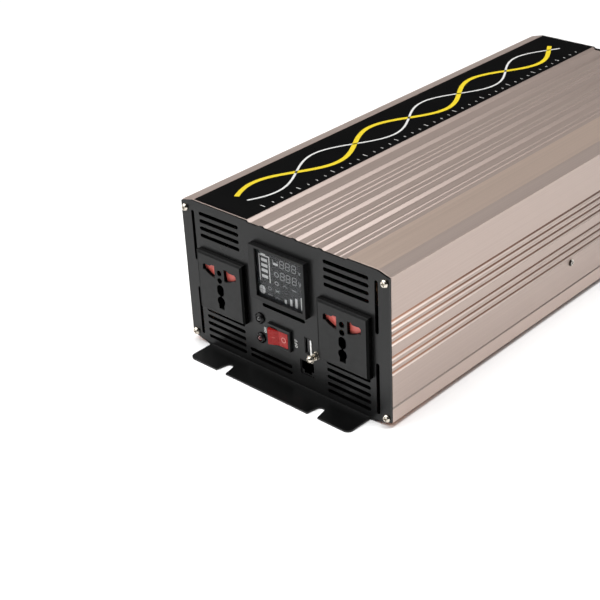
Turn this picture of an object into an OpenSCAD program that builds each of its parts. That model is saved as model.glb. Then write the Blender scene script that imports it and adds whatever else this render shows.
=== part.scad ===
// Power inverter: extruded casing between two bent sheet panels with feet,
// two universal outlets with shutters, display, rocker switch, charging port,
// remote jack and ground screw at the front, fans and battery studs at the rear.
// Frame: +Z up, front towards -Y, origin under the middle of the base.

/* [Casing] */
// Width across the flat sides
body_w = 210; // [208:1:220]
// Height from the base to the top platforms
body_h = 128; // [126:1:140]
// Length of the extrusions between the two panels
body_l = 477; // [470:1:520]
// Height of the seam between the upper and the lower casing
seam_h = 17.4; // [16:0.2:20]
// Depth of the grooves along the sides
groove_d = 1.5; // [0.8:0.1:1.6]
// Depth of the valleys between the ribs on the top
valley_d = 2.8; // [2:0.1:3]

/* [Sheet panels] */
// Thickness of the bent sheet
sheet_t = 1.5; // [1.2:0.1:2]
// How far each foot reaches out from its panel
foot_d = 24.5; // [22:0.5:32]
// Width of each foot
foot_w = 168.6; // [150:0.2:168.8]
// Radius of the round end of the foot slots
slot_r = 3.6; // [3:0.1:4.2]
// Distance of the foot slots from the middle
slot_x = 48.4; // [40:0.1:60]
// Height of one cooling slot
vent_h = 3.2; // [1.8:0.1:3.4]

/* [Outlets] */
// Distance of each outlet from the middle
outlet_x = 63.1; // [62.7:0.1:63.5]
// Height of the middle of each outlet
outlet_z = 60.8; // [60.5:0.1:62]
// How far the outlet plates stand proud
outlet_p = 4.5; // [4:0.1:5]
// Width of the bevel round the outlet plates
outlet_b = 2.1; // [1.4:0.1:2.2]

/* [Switch] */
// Swing of the rocker to each side of its middle, in degrees
rocker_a = 12; // [8:0.5:12]

/* [Fans] */
// Number of blades on each impeller
blade_n = 7; // [5:1:8]
// Height of the fan centres
fan_z = 66; // [60:0.5:70]

/* [Hidden] */
$fn = 48;
e = 0.01;
hw = body_w / 2;
yc = body_l / 2;            // end of the extrusions
yf = -yc - sheet_t;         // outer face of the front panel
yr = yc + sheet_t;          // outer face of the rear panel
top_z = body_h;
lab_t = 0.25;               // label film
plat = top_z - lab_t - 0.1; // platform under the label
crest = top_z - 0.5;
floor_z = top_z - valley_d;
wall = 2.8;
port_x = hw - 4.5;          // panel screws
port_t = top_z - 8.2;
port_b = 8;
side_y = -8;
side_z = 40.5;
fan_x = 66;
stud_x = 16.5;
stud_z = 66;
sw_x = -4.1;
sw_z = 38.1;
sw_d = 0.3;
usb_x = 23.95;
usb_z = 40.3;
jack_x = 22.3;
gnd_x = 33.4;
gnd_z = 35.9;
wall_d = -1.6;              // back of the front wall of an outlet
board_z = 12.2;
board_t = 1.6;
pcb = board_z + board_t;
led_pos = [[-25.2, 47.0], [-25.2, 29.4]];
groove_z = [47, 53.4, 59.8, 71.8, 77.8, 83.8, 89.8];
thin_x = [-7.3, -1.5, 4.2, 24.7, 30.4, 51.1, 56.7];
crest_x = [[-20.2, -17.5], [12.5, 15.1], [38.2, 40.8]];
standoff_xy = [for (x = [-78, 78]) for (y = [-178, 4, 196]) [x, y]];
trafo_xy = [for (x = [-38, 38]) for (y = [24, 84]) [x, y]];
cap_xy = [for (x = [-60, -24, 24, 60]) [x, -36]];
in_cap_x = [for (i = [0 : 7]) -77 + 22 * i];

// ---------- helpers ----------

// Extrudes a flat (x, z) shape from y0 to y1.
module along_y(y0, y1) { translate([0, y1, 0]) rotate([90, 0, 0]) linear_extrude(y1 - y0) children(); }

// Round bar along Y.
module bar_y(x, z, r, y0, y1, fn = 48) { translate([x, y0, z]) rotate([-90, 0, 0]) cylinder(r = r, h = y1 - y0, $fn = fn); }

// Box from low to high corner.
module box(a, b) { translate(a) cube(b - a); }

// Slot with round ends through the sheet, along X.
module slot_x_cut(x0, x1, z, h, y0, y1) {
  box([x0 + h / 2, y0, z - h / 2], [x1 - h / 2, y1, z + h / 2]);
  bar_y(x0 + h / 2, z, h / 2, y0, y1, 24);
  bar_y(x1 - h / 2, z, h / 2, y0, y1, 24);
}

// Slot with round ends through the sheet, along Z.
module slot_z_cut(x, z0, z1, w, y0, y1) {
  box([x - w / 2, y0, z0 + w / 2], [x + w / 2, y1, z1 - w / 2]);
  bar_y(x, z0 + w / 2, w / 2, y0, y1, 24);
  bar_y(x, z1 - w / 2, w / 2, y0, y1, 24);
}

// Pan-head screw: seat at z = 0, head above, shank below, cross recess in the head.
module pan_screw(hr, hh, sr, len) {
  difference() {
    union() {
      cylinder(r = hr, h = hh * 0.45);
      translate([0, 0, hh * 0.45]) cylinder(r1 = hr, r2 = hr * 0.72, h = hh * 0.55);
    }
    for (a = [0, 90]) rotate([0, 0, a + 20]) translate([-hr * 0.62, -hr * 0.13, hh * 0.4]) cube([hr * 1.24, hr * 0.26, hh]);
  }
  translate([0, 0, -len]) cylinder(r = sr, h = len + e);
}

// Screw whose head looks out of the front (side = -1) or the rear (side = 1).
module panel_screw(x, y, z, side, hr, hh, sr, len) {
  translate([x, y, z]) rotate([side < 0 ? 90 : -90, 0, 0]) pan_screw(hr, hh, sr, len);
}

// Tube of small radius along computed points.
function unit(v) = v / norm(v);
function tangent(p, i) = unit(p[min(i + 1, len(p) - 1)] - p[max(i - 1, 0)]);
function ring(p, i, r, n, up) = let (t = tangent(p, i), u = unit(cross(t, up)), w = cross(u, t))
  [for (k = [0 : n - 1]) p[i] + r * (cos(360 * k / n) * u + sin(360 * k / n) * w)];
module tube(p, r, n = 8, up = [0.31, 0.2, 0.93]) {
  m = len(p);
  pts = concat([for (i = [0 : m - 1]) each ring(p, i, r, n, up)], [p[0], p[m - 1]]);
  side = [for (i = [0 : m - 2]) for (k = [0 : n - 1]) let (a = i * n + k, b = i * n + (k + 1) % n)
    each [[a, b, b + n], [a, b + n, a + n]]];
  c0 = [for (k = [0 : n - 1]) [n * m, (k + 1) % n, k]];
  c1 = [for (k = [0 : n - 1]) let (o = (m - 1) * n) [n * m + 1, o + k, o + (k + 1) % n]];
  polyhedron(points = pts, faces = [for (f = concat(side, c0, c1)) [f[2], f[1], f[0]]], convexity = 6);
}
function bez(a, b, c, d, n) = [for (i = [0 : n]) let (t = i / n, s = 1 - t)
  s * s * s * a + 3 * s * s * t * b + 3 * s * t * t * c + t * t * t * d];

// ---------- casing ----------

// Outline of one grooved side, from the seam up, on the right.
function side_right() = concat(
  [[hw - 0.9, seam_h], [hw, seam_h + 0.9]],
  [for (g = groove_z) each [[hw, g - 2.0], [hw - groove_d, g - 2.0 + groove_d], [hw - groove_d, g + 1.3], [hw, g + 1.9]]],
  [[hw, top_z - 3]]);
function flip(p) = [for (i = [len(p) - 1 : -1 : 0]) [-p[i][0], p[i][1]]];

// Small rib on the valley floor.
function thin_rib(x) = [[x + 1.1, floor_z], [x + 0.3, floor_z + 0.8], [x - 0.5, floor_z + 0.8], [x - 1.3, floor_z]];
function wide_rib(c) = [[c[1] + crest - floor_z, floor_z], [c[1], crest], [c[0], crest], [c[0] - 1.6, floor_z]];

// Outline of the top from right to left.
function top_line() = concat(
  [[hw - 11.1, top_z], [65.6, top_z], [63.6, floor_z]],
  thin_rib(thin_x[6]), thin_rib(thin_x[5]), wide_rib(crest_x[2]),
  thin_rib(thin_x[4]), thin_rib(thin_x[3]), wide_rib(crest_x[1]),
  thin_rib(thin_x[2]), thin_rib(thin_x[1]), thin_rib(thin_x[0]), wide_rib(crest_x[0]),
  [[-34.4 + plat - floor_z, floor_z], [-34.4, plat], [-hw + 11.1, plat]]);

function casing_inside() = [[-hw + wall, seam_h], [-hw + wall, top_z - 5.5], [-hw + 13, top_z - 2.6], [-37, top_z - 2.6],
  [-33.5, floor_z - 2.4], [66, floor_z - 2.4], [69, top_z - 2.6], [hw - 13, top_z - 2.6], [hw - wall, top_z - 5.5], [hw - wall, seam_h]];

module upper_casing() {
  color([0.71, 0.65, 0.61]) difference() {
    union() {
      along_y(-yc, yc) polygon(concat(side_right(), top_line(), flip(side_right()), casing_inside()));
      for (s = [-1, 1]) bar_y(s * port_x, port_t, 3.6, -yc, yc);
    }
    for (s = [-1, 1]) {
      bar_y(s * port_x, port_t, 1.7, -yc - 1, yc + 1);
      translate([s * (hw - wall - 1), side_y, side_z]) rotate([0, s * 90, 0]) cylinder(r = 2.1, h = wall + 3);
    }
  }
}

module lower_casing() {
  out = [[hw - 0.9, seam_h], [hw, seam_h - 0.9], [hw, 5], [hw - 20, 0], [-hw + 20, 0], [-hw, 5], [-hw, seam_h - 0.9], [-hw + 0.9, seam_h],
    [-hw + wall + 0.3, seam_h], [-hw + wall + 0.3, seam_h + 6.6], [-hw + wall + 1.8, seam_h + 6.6], [-hw + wall + 1.8, 9.5],
    [-hw + 21, 2.2], [hw - 21, 2.2], [hw - wall - 1.8, 9.5], [hw - wall - 1.8, seam_h + 6.6], [hw - wall - 0.3, seam_h + 6.6], [hw - wall - 0.3, seam_h]];
  color([0.68, 0.62, 0.58]) difference() {
    union() {
      along_y(-yc, yc) polygon(out);
      for (s = [-1, 1]) bar_y(s * port_x, port_b, 3.6, -yc, yc);
    }
    for (s = [-1, 1]) bar_y(s * port_x, port_b, 1.7, -yc - 1, yc + 1);
  }
}

module top_label() {
  color([0.05, 0.05, 0.05]) box([-hw + 12.8, -yc + 0.9, plat], [-35, yc - 0.9, plat + lab_t]);
}

// ---------- panels ----------

// Outline of a panel; its upper edge follows the ribs. m = -1 mirrors it for the rear.
function panel_line(m) = let (t = top_z - 0.35, f = top_z - 1.5, c = crest - 0.1, p = [
  [-hw + 20.5, 0], [hw - 20.5, 0], [hw - 0.3, 5.2], [hw - 0.3, top_z - 3.3], [hw - 11.3, t], [65.7, t], [64.5, f],
  [42.6, f], [41, c], [38.2, c], [37.2, f], [16.9, f], [15.3, c], [12.5, c], [11.5, f], [-15.7, f], [-17.3, c], [-20.2, c], [-21.2, f],
  [-32.6, f], [-34.2, t], [-hw + 11.3, t], [-hw + 0.3, top_z - 3.3], [-hw + 0.3, 5.2]]) p;

// Foot with two open slots, bent outwards from the bottom of the panel. s = -1 front, 1 rear.
module foot(s) {
  y0 = s * (yc);
  y1 = s * (yc + sheet_t + foot_d);
  cr = 5;
  difference() {
    union() {
      box([-foot_w / 2, min(y0, y1 - s * cr), 0], [foot_w / 2, max(y0, y1 - s * cr), sheet_t]);
      box([-foot_w / 2 + cr, min(y0, y1), 0], [foot_w / 2 - cr, max(y0, y1), sheet_t]);
      for (x = [-1, 1]) translate([x * (foot_w / 2 - cr), y1 - s * cr, 0]) cylinder(r = cr, h = sheet_t);
    }
    for (x = [-1, 1]) {
      translate([x * slot_x, y1 - s * 8.6, -1]) cylinder(r = slot_r, h = sheet_t + 2);
      translate([x * slot_x, 0, -1]) linear_extrude(sheet_t + 2)
        polygon([[-slot_r, y1 - s * 8.6], [slot_r, y1 - s * 8.6], [slot_r + 1.8, y1 + s], [-slot_r - 1.8, y1 + s]]);
    }
  }
  // bend radius between the panel and the foot
  br = 0.8;
  difference() {
    box([-foot_w / 2, min(s * (yr - e), s * (yr + br)), sheet_t - e], [foot_w / 2, max(s * (yr - e), s * (yr + br)), sheet_t + br]);
    translate([-foot_w, s * (yr + br), sheet_t + br]) rotate([0, 90, 0]) cylinder(r = br, h = 2 * foot_w);
  }
}

module vents(y0, y1) {
  for (s = [-1, 1]) {
    a = min(s * 42.9, s * 85.6);
    b = max(s * 42.9, s * 85.6);
    for (i = [0 : 3]) slot_x_cut(a, b, top_z - 9.2 - 6.23 * i, vent_h, y0, y1);
    for (i = [0 : 4]) slot_x_cut(a, b, 33.8 - 6.2 * i, vent_h, y0, y1);
    slot_z_cut(s * 92.6, 76.2, top_z - 8.5, vent_h, y0, y1);
    slot_z_cut(s * 92.6, 8.3, 51.7, vent_h, y0, y1);
  }
}

module front_panel() {
  a = yf - 1;
  b = -yc + 1;
  color([0.16, 0.165, 0.17]) difference() {
    union() {
      along_y(yf, -yc) polygon(panel_line(1));
      foot(-1);
    }
    vents(a, b);
    slot_x_cut(-38.6, 6.4, 14.6, vent_h, a, b);
    slot_x_cut(-38.6, 6.4, 9.1, vent_h, a, b);
    slot_x_cut(-21.5, 22.5, 60.5, vent_h, a, b);
    for (s = [-1, 1]) {
      box([s * outlet_x - 22.7, a, outlet_z - 22.7], [s * outlet_x + 22.7, b, outlet_z + 23.7]);
      bar_y(s * port_x, port_t, 2.1, a, b);
      bar_y(s * port_x, port_b, 2.1, a, b);
    }
    box([-25.1, a, 67.4], [27.2, b, 111.5]);
    box([sw_x - 11.3, a, sw_z - 8.1], [sw_x + 11.3, b, sw_z + 8.1]);
    for (p = led_pos) bar_y(p[0], p[1], 3, a, b);
    box([usb_x - 3.15, a, usb_z - 7.15], [usb_x + 3.15, b, usb_z + 7.15]);
    box([jack_x - 7, a, 13.6], [jack_x + 7, b, 26]);
    bar_y(gnd_x, gnd_z, 2.15, a, b);
  }
}

module rear_panel() {
  a = yc - 1;
  b = yr + 1;
  color([0.16, 0.165, 0.17]) difference() {
    union() {
      along_y(yc, yr) polygon(panel_line(1));
      foot(1);
    }
    for (s = [-1, 1]) {
      bar_y(s * fan_x, fan_z, 28.6, a, b, 96);
      for (u = [-1, 1]) for (w = [-1, 1]) bar_y(s * fan_x + u * 25, fan_z + w * 25, 2.15, a, b);
      bar_y(s * stud_x, stud_z, 8.2, a, b);
      bar_y(s * port_x, port_t, 2.1, a, b);
      bar_y(s * port_x, port_b, 2.1, a, b);
    }
    for (i = [0 : 3]) {
      slot_x_cut(-24, 24, top_z - 12 - 6.2 * i, vent_h, a, b);
      slot_x_cut(-24, 24, 34 - 6.2 * i, vent_h, a, b);
    }
    for (s = [-1, 1]) for (i = [0 : 1]) slot_x_cut(min(s * 40, s * 88), max(s * 40, s * 88), 18 - 6.2 * i, vent_h, a, b);
  }
}

module front_panel_screws() {
  color([0.72, 0.70, 0.66]) for (s = [-1, 1]) for (z = [port_b, port_t]) panel_screw(s * port_x, yf, z, -1, 3.1, 2.2, 1.6, 14);
}

module rear_panel_screws() {
  color([0.72, 0.70, 0.66]) for (s = [-1, 1]) for (z = [port_b, port_t]) panel_screw(s * port_x, yr, z, 1, 3.1, 2.2, 1.6, 14);
}

module side_screws() {
  color([0.40, 0.37, 0.34]) for (s = [-1, 1]) translate([s * hw, side_y, side_z]) rotate([0, s * 90, 0]) pan_screw(3.0, 1.6, 1.9, 9);
}

// ---------- display ----------

module display_bezel() {
  p = 5;
  c = 0.2;
  color([0.12, 0.12, 0.125]) difference() {
    union() {
      intersection() {
        translate([0, 0, 66.4]) linear_extrude(46) polygon([[-29, yf], [-29, yf - p + c], [-29 + c, yf - p], [27.9 - c, yf - p], [27.9, yf - p + c], [27.9, yf]]);
        translate([-29, 0, 0]) rotate([90, 0, 90]) linear_extrude(56.9) polygon([[yf, 66.4], [yf - p + c, 66.4], [yf - p, 66.4 + c], [yf - p, 112.4 - c], [yf - p + c, 112.4], [yf, 112.4]]);
      }
      box([-24.9, yf - 1, 67.6], [27, yf + 4, 111.3]);
    }
    box([-22.2, yf - p - 1, 70.5], [25, yf + 5, 110.5]);
    box([-23.6, yf - 2.7, 68.9], [26.2, yf + 5, 110.5]);
  }
}

module display_window() {
  color([0.3, 0.32, 0.34, 0.5]) box([-23.4, yf - 2.7, 69.1], [26, yf - 2, 110.3]);
}

module lcd_module() {
  color([0.20, 0.21, 0.22]) {
    box([-23.4, yf - 1.7, 69.1], [26, yf + 3, 110.3]);
    for (z = [72, 109]) box([-10, yf + 3 - e, z - 1.2], [14, yf + 12, z + 1.2]);
  }
}

module control_board() {
  color([0.08, 0.26, 0.14]) difference() {
    box([-33, yf + 12, 8], [37, yf + 12 + board_t, 114]);
    box([sw_x - 13, yf + 10, sw_z - 9.5], [sw_x + 13, yf + 16, sw_z + 9.5]);
    bar_y(gnd_x, gnd_z, 4.6, yf + 10, yf + 16);
  }
}

// ---------- outlets ----------

// One combined pin opening, pointing away from the middle.
module pin_opening(y0, y1) {
  along_y(y0, y1) polygon([[5.3, 8.9], [7.8, 8.9], [9, 9.5], [12.6, 10.7], [15.4, 12.6], [18, 12.8], [18, 16.9], [16.4, 18.1], [13.4, 17.7], [10.2, 17.9], [8.2, 19.2], [5.3, 19.2]]);
}

// Front moulding of an outlet about its own middle.
module outlet_face() {
  fx = 24.85;
  f0 = -23.2;
  f1 = 27.8;
  w = outlet_p - 0.85;
  p = outlet_p;
  b = outlet_b;
  color([0.13, 0.13, 0.135]) difference() {
    union() {
      intersection() {
        translate([0, 0, f0]) linear_extrude(f1 - f0) polygon([[-fx, 0], [-fx, -w], [-fx + b, -p], [fx - b, -p], [fx, -w], [fx, 0]]);
        translate([-fx, 0, 0]) rotate([90, 0, 90]) linear_extrude(2 * fx) polygon([[0, f0], [-p + 0.4, f0], [-p, f0 + 0.4], [-p, f1 - b], [-w, f1], [0, f1]]);
      }
      box([-22.5, -0.5, -22.5], [22.5, 10, 23.5]);
    }
    box([-20.7, wall_d, -21.7], [20.7, 11, 21.7]);
    pin_opening(-p - 1, 0);
    mirror([1, 0, 0]) pin_opening(-p - 1, 0);
    for (z = [14.4, 7.8]) bar_y(0, z, 2.4, -p - 1, 0);
    for (z = [0.6, -2.4]) bar_y(0, z, 3.5, -p - 1, 0);
    box([-3.5, -p - 1, -2.4], [3.5, 0, 0.6]);
    box([-0.8, -p - 1, -8], [0.8, 0, -5]);
    bar_y(0, -10.6, 4.1, -p - 1, 0);
    box([-2.8, -p - 1, -17.6], [2.8, 0, -10.6]);
  }
}

// Sliding shutter: two blades behind the pin openings, joined at the top.
module outlet_shutter() {
  color([0.80, 0.20, 0.18]) difference() {
    box([-19.4, wall_d + 0.3, 7.6], [19.4, wall_d + 2.3, 21.3]);
    box([-3.4, -3, 7], [3.4, 3, 14]);
    for (s = [-1, 1]) box([min(s * 5.2, s * 21), -3, 20.2], [max(s * 5.2, s * 21), 3, 22]);
  }
}

function coil(n, r, z0, z1) = [for (i = [0 : n]) let (a = i * 45) [r * cos(a), r * sin(a), z0 + (z1 - z0) * i / n]];
module outlet_springs() {
  color([0.7, 0.7, 0.7]) for (x = [-12, 12]) translate([x, 0.7, 0]) tube(coil(60, 1.8, -21.3, 7.2), 0.3, 6, [0, 0, 1]);
}

module outlet_contacts() {
  color([0.80, 0.62, 0.28]) {
    for (s = [-1, 1]) {
      for (z = [9, 17.2]) box([min(s * 6, s * 16), 6, z], [max(s * 6, s * 16), 19.4, z + 0.8]);
      box([min(s * 6, s * 16), 18.6, 9], [max(s * 6, s * 16), 19.4, 18]);
      box([min(s * 9, s * 13), 19.4 - e, 13], [max(s * 9, s * 13), 27, 13.8]);
    }
    for (x = [-4.4, 3.6]) box([x, 6, -17], [x + 0.8, 19.4, 3]);
    box([-4.4, 18.6, -17], [4.4, 19.4, 3]);
    box([-2, 19.4 - e, -7], [2, 27, -6.2]);
  }
}

module outlet_back() {
  color([0.12, 0.12, 0.12]) difference() {
    box([-22.5, 10, -22.5], [22.5, 21.2, 23.5]);
    box([-20.7, 9, -21.7], [20.7, 19.4, 21.7]);
    for (s = [-1, 1]) box([min(s * 8.9, s * 13.1), 19, 12.9], [max(s * 8.9, s * 13.1), 22, 13.9]);
    box([-2.1, 19, -7.1], [2.1, 22, -6.1]);
  }
}

module at_outlet(s) { translate([s * outlet_x, yf, outlet_z]) children(); }
module left_outlet_face() { at_outlet(-1) outlet_face(); }
module right_outlet_face() { at_outlet(1) outlet_face(); }
module left_outlet_shutter() { at_outlet(-1) outlet_shutter(); }
module right_outlet_shutter() { at_outlet(1) outlet_shutter(); }
module left_outlet_springs() { at_outlet(-1) outlet_springs(); }
module right_outlet_springs() { at_outlet(1) outlet_springs(); }
module left_outlet_contacts() { at_outlet(-1) outlet_contacts(); }
module right_outlet_contacts() { at_outlet(1) outlet_contacts(); }
module left_outlet_back() { at_outlet(-1) outlet_back(); }
module right_outlet_back() { at_outlet(1) outlet_back(); }

// ---------- switch, lamps, ports ----------

module switch_housing() {
  color([0.07, 0.07, 0.075]) translate([sw_x, yf, sw_z]) difference() {
    union() {
      intersection() {
        translate([0, 0, -8.9]) linear_extrude(17.8) polygon([[-11.9, 0], [-11.9, -2.3], [-11.2, -3], [11.2, -3], [11.9, -2.3], [11.9, 0]]);
        translate([-11.9, 0, 0]) rotate([90, 0, 90]) linear_extrude(23.8) polygon([[0, -8.9], [-2.3, -8.9], [-3, -8.2], [-3, 8.2], [-2.3, 8.9], [0, 8.9]]);
      }
      box([-11.2, -0.5, -7.9], [11.2, 18, 7.9]);
    }
    box([-10.5, -4, -6.7], [10.5, 14.5, 6.7]);
    translate([0, sw_d, -7.5]) cylinder(r = 1.55, h = 15);
    for (x = [-6, 0, 6]) box([x - 0.5, 13, -3.2], [x + 0.5, 20, 3.2]);
  }
}

// Rocker with two flat pads in a shallow V, stored with the right pad pressed in.
module switch_rocker() {
  v = tan(11.5);
  color([0.80, 0.10, 0.09]) translate([sw_x, yf + sw_d, sw_z]) rotate([0, 0, rocker_a]) {
    intersection() {
      translate([0, 0, -6.4]) cylinder(r = 10.2, h = 12.8, $fn = 96);
      translate([0, 0, -7]) linear_extrude(14) polygon([[-12, -3.2 - 12 * v], [0, -3.2], [12, -3.2 - 12 * v], [12, 0.5], [6, 3], [-6, 3], [-12, 0.5]]);
    }
    translate([0, 0, -7.4]) cylinder(r = 1.5, h = 14.8);
  }
}

module switch_terminals() {
  color([0.80, 0.64, 0.32]) translate([sw_x, yf, sw_z]) for (x = [-6, 0, 6]) box([x - 0.4, 13, -3.1], [x + 0.4, 27, 3.1]);
}

module led_holders() {
  color([0.04, 0.04, 0.04]) for (p = led_pos) translate([p[0], yf, p[1]]) rotate([90, 0, 0]) difference() {
    union() {
      cylinder(r = 4.6, h = 1.1);
      translate([0, 0, 1.1]) cylinder(r1 = 4.6, r2 = 3.4, h = 1.1);
      translate([0, 0, -6]) cylinder(r = 2.9, h = 6.5);
    }
    translate([0, 0, -7]) cylinder(r = 2.55, h = 10);
  }
}

module indicator_leds() {
  color([0.25, 0.25, 0.25, 0.8]) for (p = led_pos) translate([p[0], yf, p[1]]) rotate([90, 0, 0]) {
    translate([0, 0, -6]) cylinder(r = 2.5, h = 6.4);
    translate([0, 0, 0.4]) intersection() { sphere(r = 2.5); cylinder(r = 3, h = 3); }
    translate([0, 0, -7]) cylinder(r = 2.9, h = 1);
    for (x = [-1.27, 1.27]) translate([x, 0, -12]) cylinder(r = 0.3, h = 5 + e, $fn = 16);
  }
}

// Upright shell, sunk a little, with one lip folded over the panel at its right.
module usb_shell() {
  color([0.80, 0.79, 0.76]) translate([usb_x, yf, usb_z]) difference() {
    union() {
      box([-2.85, 0.3, -6.6], [2.85, 12, 6.6]);
      box([2.5, -0.6, -6.6], [2.85, 1, 6.6]);
      along_y(-0.6, 0) polygon([[2.5, -6.6], [3.5, -6.6], [4.3, -5.8], [4.3, 5.8], [3.5, 6.6], [2.5, 6.6]]);
    }
    box([-2.5, -1, -6.25], [2.5, 11.6, 6.25]);
  }
}

module usb_tongue() {
  color([0.16, 0.16, 0.17]) translate([usb_x, yf, usb_z]) box([-0.9, 1, -5.6], [0.9, 11.6, 5.6]);
}

module remote_jack() {
  color([0.035, 0.035, 0.04]) translate([jack_x, yf, 0]) difference() {
    box([-6.8, 0.9, 13.8], [6.8, 12, 25.8]);
    box([-6.1, -1, 17.2], [6.1, 10.5, 25]);
    box([-3.6, -1, 14.5], [3.6, 10.5, 18]);
  }
}

module remote_jack_contacts() {
  color([0.85, 0.68, 0.30]) translate([jack_x, yf, 0]) for (i = [0 : 7])
    translate([-3.57 + 1.02 * i, 2.5, 25]) rotate([-22, 0, 0]) translate([-0.2, 0, -0.45]) intersection() {
      cube([0.4, 7, 0.35]);
      rotate([22, 0, 0]) translate([-1, -1, -9]) cube([4, 20, 9 + 0.4]);
    }
}

// Ground screw: domed head with a cross recess, standing off the panel.
module ground_screw() {
  color([0.78, 0.70, 0.52]) translate([gnd_x, yf - 7.9, gnd_z]) rotate([90, 0, 0]) {
    difference() {
      intersection() { translate([0, 0, -0.4]) sphere(r = 3.1); cylinder(r = 3, h = 4); }
      for (a = [0, 90]) rotate([0, 0, a + 35]) translate([-1.5, -0.3, 1.7]) cube([3, 0.6, 2]);
    }
    translate([0, 0, -18]) cylinder(r = 1.95, h = 18.1);
  }
}

module ground_hardware() {
  color([0.62, 0.58, 0.48]) {
    difference() { bar_y(gnd_x, gnd_z, 3.2, yf - 1, yf); bar_y(gnd_x, gnd_z, 2.15, yf - 2, yf + 1); }
    difference() { bar_y(gnd_x, gnd_z, 3.3, yf - 7.9, yf - 7.1); bar_y(gnd_x, gnd_z, 2.15, yf - 9, yf - 6); }
    difference() { translate([gnd_x, yf - 3.8, gnd_z]) rotate([-90, 30, 0]) cylinder(r = 3.15, h = 2.8, $fn = 6); bar_y(gnd_x, gnd_z, 2.05, yf - 5, yf + 1); }
    difference() { translate([gnd_x, -yc, gnd_z]) rotate([-90, 30, 0]) cylinder(r = 4.04, h = 3.2, $fn = 6); bar_y(gnd_x, gnd_z, 2.05, -yc - 1, -yc + 5); }
  }
}

// ---------- rear: fans and battery terminals ----------

module fan_frame() {
  color([0.06, 0.06, 0.065]) difference() {
    union() {
      difference() {
        box([-30, -25, -30], [30, 0, 30]);
        bar_y(0, 0, 28.4, -26, 1, 96);
        for (a = [0 : 90 : 270]) rotate([0, a, 0]) box([-20, -21, 29.2], [20, -4, 31]);
      }
      bar_y(0, 0, 15.5, -25, -22.5, 64);
      for (a = [15 : 90 : 300]) rotate([0, a, 0]) box([-1.6, -25, 14], [1.6, -22.8, 29]);
    }
    for (u = [-1, 1]) for (w = [-1, 1]) bar_y(u * 25, w * 25, 2.15, -26, 1);
    bar_y(0, 0, 1.56, -26, -20);
  }
}

module fan_rotor() {
  color([0.09, 0.09, 0.095]) {
    difference() { bar_y(0, 0, 15, -21.8, -3, 64); bar_y(0, 0, 13.6, -22.5, -5, 64); }
    bar_y(0, 0, 1.5, -24.6, -4);
    intersection() {
      difference() { bar_y(0, 0, 27.4, -20.5, -3.5, 96); bar_y(0, 0, 14.6, -21, -3, 64); }
      union() for (i = [0 : blade_n - 1]) rotate([0, i * 360 / blade_n, 0]) translate([21, -12, 0]) rotate([40, 0, 0]) box([-9, -12, -0.6], [9, 12, 0.6]);
    }
  }
}

module at_fan(s) { translate([s * fan_x, yc, fan_z]) children(); }
module left_fan_frame() { at_fan(-1) fan_frame(); }
module right_fan_frame() { at_fan(1) fan_frame(); }
module left_fan_rotor() { at_fan(-1) fan_rotor(); }
module right_fan_rotor() { at_fan(1) fan_rotor(); }

module fan_guards() {
  color([0.62, 0.62, 0.62]) for (s = [-1, 1]) translate([s * fan_x, yr, fan_z]) difference() {
    union() {
      for (r = [8.5, 15, 21.5, 28]) difference() { bar_y(0, 0, r + 0.8, 0, 1.6, 72); bar_y(0, 0, r - 0.8, -1, 3, 72); }
      for (a = [45 : 90 : 315]) rotate([0, a, 0]) box([-0.8, 0, 7.9], [0.8, 1.6, 34]);
      for (u = [-1, 1]) for (w = [-1, 1]) bar_y(u * 25, w * 25, 3.9, 0, 1.6);
    }
    for (u = [-1, 1]) for (w = [-1, 1]) bar_y(u * 25, w * 25, 2.15, -1, 3);
  }
}

module fan_screws() {
  color([0.55, 0.54, 0.52]) for (s = [-1, 1]) for (u = [-1, 1]) for (w = [-1, 1])
    panel_screw(s * fan_x + u * 25, yr + 1.6, fan_z + w * 25, 1, 3.6, 2.2, 1.95, 24);
}

module insulator(c) {
  color(c) translate([0, yr, stud_z]) difference() {
    union() {
      bar_y(0, 0, 12, 0, 5);
      bar_y(0, 0, 10, 5 - e, 8);
      bar_y(0, 0, 8, -7, 1);
    }
    bar_y(0, 0, 4.1, -8, 9);
  }
}
module positive_insulator() { translate([stud_x, 0, 0]) insulator([0.75, 0.08, 0.07]); }
module negative_insulator() { translate([-stud_x, 0, 0]) insulator([0.05, 0.05, 0.05]); }

// Battery stud; the run under the nuts is a little slimmer than the free end.
module stud(x) {
  color([0.80, 0.63, 0.30]) {
    bar_y(x, stud_z, 3.3, yr - 24, yr + 16.7);
    bar_y(x, stud_z, 4, yr + 16.6, yr + 22.4);
    translate([x, yr + 22.4, stud_z]) rotate([-90, 0, 0]) cylinder(r1 = 4, r2 = 3.4, h = 0.6);
  }
}
module positive_stud() { stud(stud_x); }
module negative_stud() { stud(-stud_x); }

module ring_y(x, z, r, b, y0, y1, fn = 48) {
  difference() { translate([x, y0, z]) rotate([-90, 30, 0]) cylinder(r = r, h = y1 - y0, $fn = fn); bar_y(x, z, b, y0 - 1, y1 + 1); }
}
module terminal_nuts() {
  color([0.78, 0.74, 0.62]) for (s = [-1, 1]) {
    ring_y(s * stud_x, stud_z, 8.2, 4.1, yr + 8, yr + 9.6);
    ring_y(s * stud_x, stud_z, 7.5, 4.05, yr + 9.6, yr + 16, 6);
    ring_y(s * stud_x, stud_z, 7.5, 4.05, yr - 13, yr - 7, 6);
  }
}

module dc_bus_bars() {
  color([0.72, 0.42, 0.25]) for (s = [-1, 1]) translate([s * stud_x, 0, 0]) difference() {
    union() {
      box([-9, yr - 16, pcb], [9, yr - 13, stud_z + 9]);
      box([-9, 168, pcb], [9, yr - 16 + e, pcb + 3]);
    }
    bar_y(0, stud_z, 4.1, yr - 18, yr - 10);
  }
}

// ---------- inside ----------

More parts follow.
